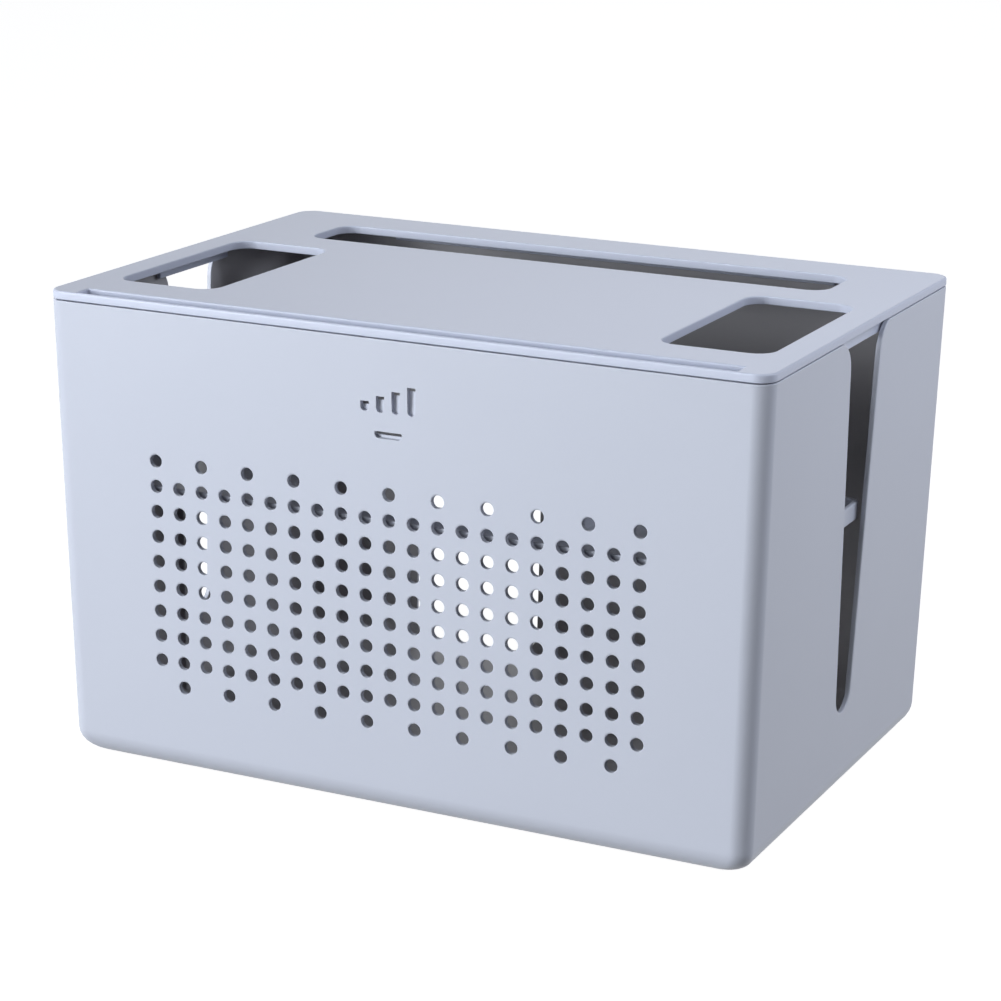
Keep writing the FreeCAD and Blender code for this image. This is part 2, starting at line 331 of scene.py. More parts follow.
@dataclass
class Cutter:
    """A rounded opening through a wall, with rounded rims on both of its faces."""

    name: str
    half_x: float
    half_y: float
    radius: float
    wall: float
    outer_rim: float
    inner_rim: float
    segments: int = 6
    rim_steps: int = 3

    def rings(self) -> list[tuple[float, float]]:
        """The cutter's rings, from behind the wall's inner face to before its outer face."""
        inner = rounding(self.inner_rim, self.rim_steps)
        outer = rounding(self.outer_rim, self.rim_steps)
        low = [(spread, depth - self.wall) for spread, depth in inner]
        high = [(spread, -depth) for spread, depth in reversed(outer)]
        return [self.beyond(low[0], low[1])] + low + high + [self.beyond(high[-1], high[-2])]

    def beyond(self, at_face: tuple[float, float], inside: tuple[float, float]) -> tuple[float, float]:
        """The rim's last step carried on past the wall's face."""
        return (2 * at_face[0] - inside[0], 2 * at_face[1] - inside[1])

    def build(self, place: Vector, wall: Wall, lean: float = 0.0) -> bpy.types.Object:
        """Makes the cutter and sets it in its wall.

        Args:
            place: The opening's middle on the wall's outer face.
            wall: The wall that it goes through.
            lean: How far the wall's foot leans inwards.

        Returns:
            The settled cutter.
        """
        solid = RoundedStack(self.name, self.half_x, self.half_y, self.radius, self.rings(),
                             self.segments).build()
        return stand_in_wall(solid, place, wall, lean)


def stand_in_wall(solid: bpy.types.Object, place: Vector, wall: Wall, lean: float) -> bpy.types.Object:
    """Turns a cutter made around +Z to a wall's outward normal and moves it there.

    Args:
        solid: The cutter, whose wall face lies at zero height.
        place: Where its middle goes on the wall's outer face.
        wall: The wall that it goes through.
        lean: How far the wall's foot leans inwards.

    Returns:
        The settled cutter.
    """
    tip, turn = wall.value
    solid.matrix_world = (Matrix.Translation(place) @ Matrix.Rotation(turn, 4, "Z")
                          @ Matrix.Rotation(tip + lean, 4, "X"))
    bpy.context.view_layer.update()
    return settle(solid)


@dataclass
class TubShell:
    """The one-piece tub: drafted walls, vents, level bars, side slots, rear windows and ribs."""

    corner_radius: float = 7 * MM
    base_radius: float = 10 * MM
    wall: float = 2 * MM
    floor: float = 2.5 * MM
    rebate_width: float = 1.5 * MM
    rebate_height: float = 0.45 * MM
    rim_edge: float = 0.35 * MM
    vent_radius: float = 2.5 * MM
    vent_rim: float = 0.45 * MM
    vent_pitch: float = 10 * MM
    vent_columns: int = 21
    vent_rows: int = 10
    vent_middle: float = 81.2 * MM
    vent_sides: int = 18
    bar_width: float = 3.2 * MM
    bar_pitch: float = 6.4 * MM
    bar_count: int = 4
    bar_foot: float = 157 * MM
    bar_first: float = 5.6 * MM
    bar_step: float = 4.6 * MM
    status_length: float = 11 * MM
    status_height: float = 149 * MM
    slot_end: float = 7.8 * MM
    slot_foot: float = 35.4 * MM
    slot_flare: float = 12.5 * MM
    slot_mouth: float = 28.5 * MM
    slot_rim: float = 0.6 * MM
    window_inner: float = 29 * MM
    window_outer: float = 88 * MM
    window_top: float = 100 * MM
    window_radius: float = 8 * MM
    window_rim: float = 0.8 * MM
    rib_width: float = 2.4 * MM
    rib_bearing: float = 5 * MM
    rib_pitch: float = 32 * MM
    rib_first: float = 10 * MM
    rib_count: int = 3
    front_rib: float = 118 * MM
    pad_gap: float = 0.25 * MM
    pad_recess: float = 1 * MM

    def __post_init__(self) -> None:
        """Takes the outer size, the rim and the floor from the frame."""
        low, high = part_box("tub")
        lid_low, lid_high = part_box("lid")
        self.half_x = lid_high.x
        self.half_y = lid_high.y
        self.foot = low.z
        self.rim = high.z
        self.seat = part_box("shelf")[0].z
        self.window_foot = self.foot + self.floor + TOUCH

    def inset(self, height: float) -> float:
        """How far the outer wall stands inside the rim's outline at a height."""
        return (self.rim - height) * math.tan(LEAN)

    def front_point(self, x: float, height: float) -> Vector:
        """A point on the front wall's outer face."""
        return Vector((x, self.inset(height) - self.half_y, height))

    def base_rings(self, low: float, radius: float, steps: int) -> list[tuple[float, float]]:
        """The rings of a rounded bottom edge, from the flat underside up to the drafted wall.

        Args:
            low: The underside's height.
            radius: The edge's radius.
            steps: How many straight steps the edge has.

        Returns:
            Pairs of spread, from the wall's line carried down to the underside, and height.
        """
        turn = math.pi / 2 - LEAN
        reach = radius * math.tan(turn / 2)
        rings = []
        for step in range(steps + 1):
            angle = turn * step / steps
            rings.append((radius * math.sin(angle) - reach - self.inset(low),
                          low + radius * (1 - math.cos(angle))))
        return rings

    def block(self, name: str, thickness: float, low: float, top: list[tuple[float, float]]
              ) -> bpy.types.Object:
        """A drafted block with a rounded bottom edge.

        Args:
            name: What it is called.
            thickness: How far it lies inside the outer faces.
            low: Its underside's height.
            top: Its rings above the bottom edge, as spread and height.

        Returns:
            The block.
        """
        rings = self.base_rings(low, self.base_radius - thickness, 8) + top
        return RoundedStack(name, self.half_x - thickness, self.half_y - thickness,
                            self.corner_radius - thickness, rings).build()

    def build(self) -> bpy.types.Object:
        """Makes the tub from its blocks, ribs and cutters.

        Returns:
            The finished tub mesh.
        """
        ledge = self.rim - self.rebate_height
        edge = [(-self.inset(ledge) - back, ledge - depth)
                for back, depth in rounding(self.rim_edge, 3)[::-1]]
        tub = self.block("tub_shell", 0, self.foot,
                         edge + [(-self.rebate_width, ledge), (-self.rebate_width, self.rim)])
        above = self.rim + OVERRUN
        hollow = self.block("tub_hollow", self.wall, self.foot + self.floor,
                            [(-self.inset(above), above)])
        combine(tub, hollow, Operation.CUT)
        combine(tub, self.ribs(), Operation.JOIN)
        combine(tub, self.side_slots(), Operation.CUT)
        self.round_slot_edges(tub)
        combine(tub, self.windows(), Operation.CUT)
        self.round_window_edges(tub)
        for recess in self.recesses():
            combine(tub, recess, Operation.CUT)
        combine(tub, self.level_bars(), Operation.CUT)
        combine(tub, self.vents(), Operation.CUT)
        tidy_mesh(tub)
        smooth(tub)
        return tub

    def ribs(self) -> bpy.types.Object:
        """Upright ribs that carry the shelf, trimmed to end inside the walls and the floor.

        Returns:
            All ribs as one mesh.
        """
        low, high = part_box("shelf")
        reach = high.x - self.rib_bearing
        front_reach = -low.y - self.rib_bearing
        ribs = []
        for side in (-1, 1):
            for index in range(self.rib_count):
                y = low.y + self.rib_first + index * self.rib_pitch
                ribs.append(self.rib(Vector((side * reach, y, 0)), Vector((side, 0, 0))))
            ribs.append(self.rib(Vector((side * self.front_rib, -front_reach, 0)), Vector((0, -1, 0))))
        joined = join_objects(ribs, "shelf_ribs")
        middle = self.wall / 2
        trimmer = self.block("rib_trimmer", middle, self.foot + self.floor / 2,
                             [(-self.inset(self.rim), self.rim)])
        combine(joined, trimmer, Operation.TRIM)
        return joined

    def rib(self, tip: Vector, outward: Vector) -> bpy.types.Object:
        """One plain rib from its free edge out past its wall, with soft top edges.

        Args:
            tip: The middle of its free edge, seen from above.
            outward: The direction of its wall.

        Returns:
            The rib.
        """
        length = self.base_radius + self.rib_bearing
        clear_selection()
        bpy.ops.mesh.primitive_cube_add(size=1, location=(length / 2, 0, self.seat / 2))
        rib = bpy.context.object
        rib.scale = (length, self.rib_width, self.seat)
        settle(rib)
        set_mode("EDIT")
        pick_edges(rib, lambda a, b: max(a.x, b.x) < TOUCH
                   or (min(a.z, b.z) > self.seat - TOUCH and abs(a.y - b.y) < TOUCH))
        bpy.ops.mesh.bevel(offset=0.4 * MM, segments=2, affect="EDGES")
        set_mode("OBJECT")
        turn = math.atan2(outward.y, outward.x)
        rib.matrix_world = Matrix.Translation(tip) @ Matrix.Rotation(turn, 4, "Z")
        bpy.context.view_layer.update()
        return settle(rib)

    def side_slots(self) -> bpy.types.Object:
        """One cutter through both side walls: round end, straight taper and flared mouth.

        Returns:
            The cutter.
        """
        end_height = self.slot_foot + self.slot_end
        flare_height = self.rim - self.slot_flare
        rise = flare_height - end_height
        reach = math.hypot(self.slot_mouth, rise)
        lean = math.acos((self.slot_end + self.slot_flare) / reach) - math.atan2(rise, self.slot_mouth)
        foot_half = self.slot_end * (1 / math.cos(lean) - math.tan(lean))
        rim_half = foot_half + (self.rim - self.slot_foot) * math.tan(lean)
        clear_selection()
        bpy.ops.mesh.primitive_plane_add(size=2, location=(-self.half_x - OVERRUN, 0, 0),
                                         rotation=(0, math.pi / 2, 0))
        cutter = bpy.context.object
        cutter.name = "side_slot_cutter"
        middle = (self.slot_foot + self.rim) / 2
        cutter.location.z = middle
        cutter.scale = (self.rim - middle, foot_half, 1)
        settle(cutter)
        set_mode("EDIT")
        for side in (-1, 1):
            pick_verts(cutter, lambda place: place.z > middle and place.y * side > 0)
            bpy.ops.transform.translate(value=(0, side * (rim_half - foot_half), 0))
        pick_edges(cutter, lambda a, b: min(a.z, b.z) > middle)
        bpy.ops.mesh.extrude_edges_move(TRANSFORM_OT_translate={"value": (0, 0, OVERRUN)})
        self.widen_mouth(cutter, rim_half)
        bpy.ops.mesh.select_mode(type="VERT")
        flare_reach = self.slot_mouth - rim_half
        pick_verts(cutter, lambda place: abs(place.z - self.rim) < TOUCH and abs(place.y) < rim_half + TOUCH)
        bpy.ops.mesh.bevel(offset=flare_reach, segments=12, affect="VERTICES", clamp_overlap=False)
        pick_verts(cutter, lambda place: place.z < self.slot_foot + TOUCH)
        bpy.ops.mesh.bevel(offset=foot_half - TOUCH, segments=10, affect="VERTICES", clamp_overlap=False)
        bpy.ops.mesh.select_all(action="SELECT")
        bpy.ops.mesh.extrude_region_move(
            TRANSFORM_OT_translate={"value": (2 * (self.half_x + OVERRUN), 0, 0)})
        bpy.ops.mesh.select_all(action="SELECT")
        bpy.ops.mesh.normals_make_consistent(inside=False)
        set_mode("OBJECT")
        return cutter

    def widen_mouth(self, cutter: bpy.types.Object, rim_half: float) -> None:
        """Adds the level shoulders above the rim, on which the mouth's flares end.

        Args:
            cutter: The slot's outline in edit mode.
            rim_half: Half the slot's width where its straight sides would meet the rim.
        """
        for side in (-1, 1):
            pick_edges(cutter, lambda a, b: min(a.z, b.z) > self.rim - TOUCH
                       and abs(a.y - b.y) < TOUCH and a.y * side > 0)
            bpy.ops.mesh.extrude_edges_move(
                TRANSFORM_OT_translate={"value": (0, side * (self.slot_mouth - rim_half + OVERRUN), 0)})

    def round_slot_edges(self, tub: bpy.types.Object) -> None:
        """Rounds the side slots' edges on both faces of the side walls."""
        ledge = self.rim - self.rebate_height

        def on_face(place: Vector, thickness: float) -> bool:
            outer = self.half_x - self.inset(place.z) - thickness
            return abs(abs(place.x) - outer) < TOUCH and abs(place.y) < self.slot_mouth + TOUCH

        make_active(tub)
        set_mode("EDIT")
        for thickness, rim, top in ((0.0, self.slot_rim, ledge), (self.wall, self.slot_rim / 2, self.rim)):
            count = pick_edges(tub, lambda a, b: on_face(a, thickness) and on_face(b, thickness)
                               and min(a.z, b.z) < top - TOUCH and min(a.z, b.z) > self.slot_foot - TOUCH
                               and a.x * b.x > 0)
            log.info("side slot edges to round: %d", count)
            bpy.ops.mesh.bevel(offset=rim, segments=3, affect="EDGES", clamp_overlap=False,
                               loop_slide=False)
        set_mode("OBJECT")

    def windows(self) -> bpy.types.Object:
        """One cutter for both windows low in the back wall, level with the floor inside."""
        depth = self.inset(self.foot) + self.base_radius + self.wall
        cutters = []
        for side in (-1, 1):
            solid = RoundedStack("window_cutter", (self.window_outer - self.window_inner) / 2,
                                 (self.window_top - self.window_foot) / 2, self.window_radius,
                                 [(0, -depth), (0, OVERRUN)]).build()
            place = Vector((side * (self.window_inner + self.window_outer) / 2, self.half_y,
                            (self.window_foot + self.window_top) / 2))
            cutters.append(stand_in_wall(solid, place, Wall.BACK, 0))
        return join_objects(cutters, "window_cutters")

    def round_window_edges(self, tub: bpy.types.Object) -> None:
        """Rounds the windows' edges on both faces of the back wall and over its rounded foot."""
        middle = Vector(((self.window_inner + self.window_outer) / 2,
                         (self.window_foot + self.window_top) / 2))
        inner = Vector((self.window_outer, self.window_top)) - middle
        bend = self.foot + self.base_radius

        def off_outline(place: Vector) -> float:
            across = abs(abs(place.x) - middle.x) - inner.x + self.window_radius
            up = abs(place.z - middle.y) - inner.y + self.window_radius
            return abs(math.hypot(max(across, 0), max(up, 0)) + min(max(across, up), 0) - self.window_radius)

        def depth(place: Vector) -> float:
            centre = self.half_y - self.inset(place.z) - self.base_radius
            return self.base_radius - math.hypot(place.y - centre, min(place.z - bend, 0))

        def on_loop(place: Vector, face: float) -> bool:
            return place.y > 0 and off_outline(place) < self.wall / 8 and abs(depth(place) - face) < self.wall / 2

        make_active(tub)
        set_mode("EDIT")
        lowest = self.window_foot + self.window_radius
        for face, rim, foot in ((0.0, self.window_rim, self.foot), (self.wall, self.window_rim / 2, lowest)):
            count = pick_edges(tub, lambda a, b: on_loop(a, face) and on_loop(b, face) and a.x * b.x > 0
                               and min(a.z, b.z) > foot - TOUCH)
            log.info("window edges to round: %d", count)
            bpy.ops.mesh.bevel(offset=rim, segments=3, affect="EDGES", clamp_overlap=False,
                               loop_slide=False)
        set_mode("OBJECT")

    def recesses(self) -> list[bpy.types.Object]:
        """Round recesses under the floor that take the anti-slip pads."""
        solids = []
        for name in sorted(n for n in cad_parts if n.startswith("foot_pad")):
            low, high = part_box(name)
            middle = (low + high) / 2
            radius = (high.y - low.y) / 2 + self.pad_gap
            clear_selection()
            bpy.ops.mesh.primitive_cylinder_add(
                vertices=40, radius=radius, depth=self.pad_recess + OVERRUN,
                location=(middle.x, middle.y, self.foot + self.pad_recess - (self.pad_recess + OVERRUN) / 2))
            solids.append(settle(bpy.context.object))
        return solids

    def level_bars(self) -> bpy.types.Object:
        """The rising level bars and the level slot below them, as one cutter."""
        solids = []
        first = -self.bar_pitch * (self.bar_count - 1) / 2
        half = self.bar_width / 2
        for index in range(self.bar_count):
            length = self.bar_first + index * self.bar_step
            cutter = Cutter("bar_cutter", half, length / 2, half - WELD, self.wall, 0.35 * MM, 0.2 * MM)
            place = self.front_point(first + index * self.bar_pitch, self.bar_foot + length / 2)
            solids.append(cutter.build(place, Wall.FRONT, -LEAN))
        status = Cutter("status_cutter", self.status_length / 2, half, half - WELD, self.wall, 0.35 * MM,
                        0.2 * MM)
        solids.append(status.build(self.front_point(0, self.status_height), Wall.FRONT, -LEAN))
        return join_objects(solids, "bar_cutters")

    def vents(self) -> bpy.types.Object:
        """All vents as one cutter: full rows between a first and a last row of every second vent."""
        step = self.vent_pitch
        left = -step * (self.vent_columns - 1) / 2
        top = self.vent_middle + step * (self.vent_rows - 1) / 2
        odd = self.vent_columns // 2
        rows = [(left, top, odd + 1, 1, 2 * step),
                (left, top - step, self.vent_columns, self.vent_rows - 2, step),
                (left + step, top - (self.vent_rows - 1) * step, odd, 1, 2 * step)]
        solids = []
        for x, height, columns, count, pitch in rows:
            vent = self.vent(self.front_point(x, height))
            array(vent, columns, Vector((pitch, 0, 0)))
            array(vent, count, Vector((0, step * math.tan(LEAN), -step)))
            solids.append(vent)
        return join_objects(solids, "vent_cutters")

    def vent(self, place: Vector) -> bpy.types.Object:
        """One vent's cutter, with a rounded rim on the outer face.

        Args:
            place: Its middle on the front wall.

        Returns:
            The cutter.
        """
        depth = self.wall + OVERRUN - self.vent_rim
        clear_selection()
        bpy.ops.mesh.primitive_cylinder_add(vertices=self.vent_sides, radius=self.vent_radius, depth=depth,
                                            location=(0, 0, -self.vent_rim - depth / 2))
        vent = settle(bpy.context.object)
        vent.name = "vent_cutter"
        set_mode("EDIT")
        pairs = rounding(self.vent_rim, 2)[::-1]
        pairs.append((2 * pairs[-1][0] - pairs[-2][0], 2 * pairs[-1][1] - pairs[-2][1]))
        for (old, old_depth), (new, new_depth) in zip(pairs, pairs[1:]):
            pick_faces(vent, lambda middle, normal: middle.z > -old_depth - TOUCH and normal.z > 0.9)
            scale = (self.vent_radius + new) / (self.vent_radius + old)
            bpy.ops.mesh.extrude_region_move(
                TRANSFORM_OT_translate={"value": (0, 0, old_depth - new_depth)})
            bpy.ops.transform.resize(value=(scale, scale, 1))
        set_mode("OBJECT")
        return stand_in_wall(vent, place, Wall.FRONT, -LEAN)

    def is_inner(self, face: bpy.types.MeshPolygon) -> bool:
        """Tells whether a face belongs to the inside of the walls, the floor or the ribs.

        Args:
            face: A face of the finished tub.

        Returns:
            Whether its middle lies inside the walls, above the floor, and it doesn't look down.
        """
        place, radius = face.center, self.corner_radius - self.wall
        past_x = abs(place.x) + self.inset(place.z) + self.wall + radius - self.half_x
        past_y = abs(place.y) + self.inset(place.z) + self.wall + radius - self.half_y
        past = math.hypot(max(past_x, 0), max(past_y, 0)) + min(max(past_x, past_y), 0) - radius
        return past < TOUCH and place.z > self.foot + self.floor - TOUCH and face.normal.z > LOOKS_DOWN

    def dress(self, tub: bpy.types.Object, finish: "MouldedPlastic") -> None:
        """Gives the tub its finish outside, painted shade (a darker, warmer grey) on its inner faces, and its
        place in the frame.
        """
        finish.paint(tub)
        # The inner faces are painted a darker, warmer grey: painted shade for the dim inside.
        INNER_PAINTED_SHADE.paint_faces(tub, self.is_inner)
        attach(tub, "tub")
        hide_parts("tub")


@dataclass
class LidPlate:
    """The lift-off lid: hatches, rear slot, stand groove and locating lips."""

    corner_radius: float = 7 * MM
    thickness: float = 3.3 * MM
    top_edge: float = 0.8 * MM
    under_edge: float = 0.4 * MM
    hatch_inner: float = 91.7 * MM
    hatch_outer: float = 134.8 * MM
    hatch_front: float = -70 * MM
    hatch_back: float = 24 * MM
    opening_radius: float = 8 * MM
    opening_rim: float = 0.55 * MM
    slot_half: float = 114 * MM
    slot_front: float = 43.5 * MM
    slot_back: float = 75.5 * MM
    groove_half: float = 134 * MM
    groove_lip: float = 1.5 * MM
    groove_width: float = 8 * MM
    groove_front_depth: float = 2.2 * MM
    groove_depth: float = 3.6 * MM
    groove_floor: float = 1.6 * MM
    groove_rim: float = 0.7 * MM
    lip_clearance: float = 0.8 * MM
    lip_thickness: float = 1.8 * MM
    side_lip: float = 26.1 * MM
    front_lip: float = 110 * MM
    rear_lip: float = 100 * MM
    lip_fillet: float = 1.2 * MM
    wall: float = 2 * MM

    def __post_init__(self) -> None:
        """Takes the outline, top and underside from the frame."""
        low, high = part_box("lid")
        self.half_x = high.x
        self.half_y = high.y
        self.top = high.z
        self.lip_foot = low.z
        self.under = high.z - self.thickness

    def build(self) -> bpy.types.Object:
        """Makes the lid from its plate, lips and cutters.

        Returns:
            The finished lid mesh.
        """
        below = [(-back, self.under + depth) for back, depth in rounding(self.under_edge, 2)]
        above = [(-back, self.top - depth) for back, depth in rounding(self.top_edge, 4)[::-1]]
        lid = RoundedStack("lid_plate", self.half_x, self.half_y, self.corner_radius,
                           below + above).build()
        for lip in self.lips():
            combine(lid, lip, Operation.JOIN)
        combine(lid, self.trough(), Operation.JOIN)
        for opening in self.openings():
            combine(lid, opening, Operation.CUT)
        for groove in self.groove():
            combine(lid, groove, Operation.CUT)
        tidy_mesh(lid)
        smooth(lid)
        return lid

    def openings(self) -> list[bpy.types.Object]:
        """The two hatches and the long rear slot."""
        middle_x = (self.hatch_inner + self.hatch_outer) / 2
        middle_y = (self.hatch_front + self.hatch_back) / 2
        hatch = Cutter("hatch_cutter", (self.hatch_outer - self.hatch_inner) / 2,
                       (self.hatch_back - self.hatch_front) / 2, self.opening_radius, self.thickness,
                       self.opening_rim, self.under_edge, 8, 4)
        slot = Cutter("rear_slot_cutter", self.slot_half, (self.slot_back - self.slot_front) / 2,
                      self.opening_radius, self.thickness, self.opening_rim, self.under_edge, 8, 4)
        solids = [hatch.build(Vector((side * middle_x, middle_y, self.top)), Wall.TOP) for side in (-1, 1)]
        solids.append(slot.build(Vector((0, (self.slot_front + self.slot_back) / 2, self.top)), Wall.TOP))
        return solids

    def lips(self) -> list[bpy.types.Object]:
        """Lips that drop inside the walls, with a small fillet where they meet the plate."""
        outer_x = self.half_x - self.wall - self.lip_clearance
        outer_y = self.half_y - self.wall - self.lip_clearance
        half = self.lip_thickness / 2
        return [self.lip((-outer_x + half, 0), (half, self.side_lip)),
                self.lip((outer_x - half, 0), (half, self.side_lip)),
                self.lip((0, -outer_y + half), (self.front_lip, half)),
                self.lip((0, outer_y - half), (self.rear_lip, half))]

    def lip(self, middle: tuple[float, float], half: tuple[float, float]) -> bpy.types.Object:
        """One locating lip.

        Args:
            middle: Its middle, seen from above.
            half: Half its length and thickness.

        Returns:
            The lip, a little way up into the plate.
        """
        foot = [(-back, self.lip_foot + depth) for back, depth in rounding(0.4 * MM, 2)]
        root = [(back, self.under - depth) for back, depth in rounding(self.lip_fillet, 4)[::-1]]
        lip = RoundedStack("locating_lip", half[0], half[1], 0.5 * MM,
                           foot + root + [(self.lip_fillet, self.under + self.thickness / 3)], 3).build()
        lip.location = (middle[0], middle[1], 0)
        return settle(lip)

    def trough(self) -> bpy.types.Object:
        """The extra thickness under the stand groove's deeper part."""
        half_x = self.groove_half + self.lip_thickness
        front = self.wall + self.lip_clearance - self.half_y
        back = self.groove_lip + self.groove_width + self.lip_thickness - self.half_y
        foot = self.top - self.groove_depth - self.groove_floor
        below = [(-rim, foot + depth) for rim, depth in rounding(0.4 * MM, 2)]
        trough = RoundedStack("groove_trough", half_x, (back - front) / 2, 1 * MM,
                              below + [(0, self.under + self.thickness / 3)], 3).build()
        trough.location = (0, (front + back) / 2, 0)
        return settle(trough)

    def groove(self) -> list[bpy.types.Object]:
        """The stand groove's two steps, the front one with a rounded rim."""
        front = self.groove_lip - self.half_y
        back = front + self.groove_width
        step = self.wall + self.lip_clearance + self.lip_thickness - self.half_y
        rim = rounding(self.groove_rim, 3)[::-1]
        rings = [(0, -self.groove_front_depth)] + [(back_off, -depth) for back_off, depth in rim]
        rings.append((2 * rings[-1][0] - rings[-2][0], 2 * rings[-1][1] - rings[-2][1]))
        shallow = RoundedStack("groove_cutter", self.groove_half, self.groove_width / 2, 0.6 * MM, rings,
                               3).build()
        shallow.location = (0, (front + back) / 2, self.top)
        deep = RoundedStack("groove_step_cutter", self.groove_half, (back - step) / 2, 0.6 * MM,
                            [(0, -self.groove_depth), (0, -self.groove_front_depth + OVERRUN / 10)],
                            3).build()
        deep.location = (0, (step + back) / 2, self.top)
        return [settle(shallow), settle(deep)]

    def dress(self, lid: bpy.types.Object, finish: "MouldedPlastic") -> None:
        """Gives the lid its finish, the shell's plastic lighter and bluer as painted light, and its place in the
        frame.
        """
        finish.paint(lid)
        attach(lid, "lid")
        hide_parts("lid")


@dataclass
class RouterShelf:
    """The U-shaped tray that carries a router above the power strip."""

    plate: float = 2 * MM
    rim_width: float = 2 * MM
    bar_depth: float = 25 * MM
    gap: float = 116 * MM
    corner_radius: float = 5 * MM
    soft_edge: float = 0.6 * MM

    def __post_init__(self) -> None:
        """Takes the outline from the frame's plate and rim."""
        self.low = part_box("shelf")[0]
        self.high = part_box("shelf_rim")[1]

    def build(self) -> bpy.types.Object:
        """Makes the tray from a front bar with two wings.

        Returns:
            The finished tray mesh.
        """
        front, back, side = self.low.y, self.high.y, self.high.x
        bar_back = front + self.bar_depth
        clear_selection()
        bpy.ops.mesh.primitive_plane_add(size=2, location=(0, (front + bar_back) / 2, self.low.z))
        shelf = bpy.context.object
        shelf.name = "router_tray"
        shelf.scale = (side, self.bar_depth / 2, 1)
        settle(shelf)
        set_mode("EDIT")
        for x in (-self.gap / 2, self.gap / 2):
            bpy.ops.mesh.select_all(action="SELECT")
            bpy.ops.mesh.bisect(plane_co=(x, 0, 0), plane_no=(1, 0, 0))
        for sign in (-1, 1):
            pick_edges(shelf, lambda a, b: min(a.y, b.y) > bar_back - TOUCH
                       and min(a.x * sign, b.x * sign) > self.gap / 2 - TOUCH)
            bpy.ops.mesh.extrude_edges_move(TRANSFORM_OT_translate={"value": (0, back - bar_back, 0)})
        bpy.ops.mesh.select_all(action="SELECT")
        bpy.ops.mesh.dissolve_limited(angle_limit=math.radians(1))
        bpy.ops.mesh.select_all(action="SELECT")
        bpy.ops.mesh.bevel(offset=self.corner_radius, segments=6, affect="VERTICES")
        bpy.ops.mesh.select_all(action="SELECT")
        bpy.ops.mesh.extrude_region_move(
            TRANSFORM_OT_translate={"value": (0, 0, self.high.z - self.low.z)})
        pick_faces(shelf, lambda middle, normal: middle.z > self.high.z - TOUCH)
        bpy.ops.mesh.inset(thickness=self.rim_width, use_even_offset=True)
        bpy.ops.mesh.extrude_region_move(
            TRANSFORM_OT_translate={"value": (0, 0, self.low.z + self.plate - self.high.z)})
        bpy.ops.mesh.select_all(action="SELECT")
        bpy.ops.mesh.normals_make_consistent(inside=False)
        pick_edges(shelf, lambda a, b: abs(a.z - b.z) < TOUCH)
        bpy.ops.mesh.bevel(offset=self.soft_edge, segments=3, affect="EDGES")
        set_mode("OBJECT")
        smooth(shelf)
        return shelf

    def dress(self, shelf: bpy.types.Object, finish: "MouldedPlastic") -> None:
        """Gives the tray its finish and its place in the frame."""
        finish.paint(shelf)
        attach(shelf, "shelf")
        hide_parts("shelf", "shelf_rim")


@dataclass
class AntiSlipPad:
    """A round rubber pad under the floor, with a soft edge and two ring grooves below."""

    node: str
    soft_edge: float = 0.4 * MM
    groove_width: float = 0.7 * MM
    groove_depth: float = 0.25 * MM
    sides: int = 48

    def build(self) -> bpy.types.Object:
        """Makes the pad in its recess.

        Returns:
            The finished pad mesh.
        """
        low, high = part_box(self.node)
        middle = (low + high) / 2
        radius = (high.y - low.y) / 2
        clear_selection()
        bpy.ops.mesh.primitive_cylinder_add(vertices=self.sides, radius=radius, depth=high.z - low.z,
                                            location=middle)
        pad = settle(bpy.context.object)
        pad.name = self.node.replace("foot_pad", "anti_slip_pad")
        set_mode("EDIT")
        pick_edges(pad, lambda a, b: max(a.z, b.z) < low.z + TOUCH)
        bpy.ops.mesh.bevel(offset=self.soft_edge, segments=3, affect="EDGES")
        for share in (0.3, 0.4):
            pick_faces(pad, lambda face, normal: normal.z < -0.9 and (face - middle).xy.length < TOUCH)
            bpy.ops.mesh.inset(thickness=radius * share)
            bpy.ops.mesh.inset(thickness=self.groove_width / 2, depth=-self.groove_depth)
            bpy.ops.mesh.inset(thickness=self.groove_width / 2, depth=self.groove_depth)
        set_mode("OBJECT")
        smooth(pad)
        return pad

    def dress(self, pad: bpy.types.Object, finish: "PadRubber") -> None:
        """Gives the pad its finish and its place in the frame."""
        finish.paint(pad)
        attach(pad, "tub")
        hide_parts(self.node)


class NodeSheet:
    """A node tree with short calls to add nodes and wires."""

    def __init__(self, tree: bpy.types.NodeTree) -> None:
        """Keeps the tree."""
        self.tree = tree

    def add(self, kind: str, **values: object) -> bpy.types.Node:
        """Adds a node and sets its properties.

        Args:
            kind: The node's type.
            **values: Its properties by name.

        Returns:
            The node.
        """
        node = self.tree.nodes.new(kind)
        for name, value in values.items():
            setattr(node, name, value)
        return node

    def wire(self, source: bpy.types.NodeSocket, target: bpy.types.NodeSocket) -> None:
        """Connects two sockets."""
        self.tree.links.new(source, target)


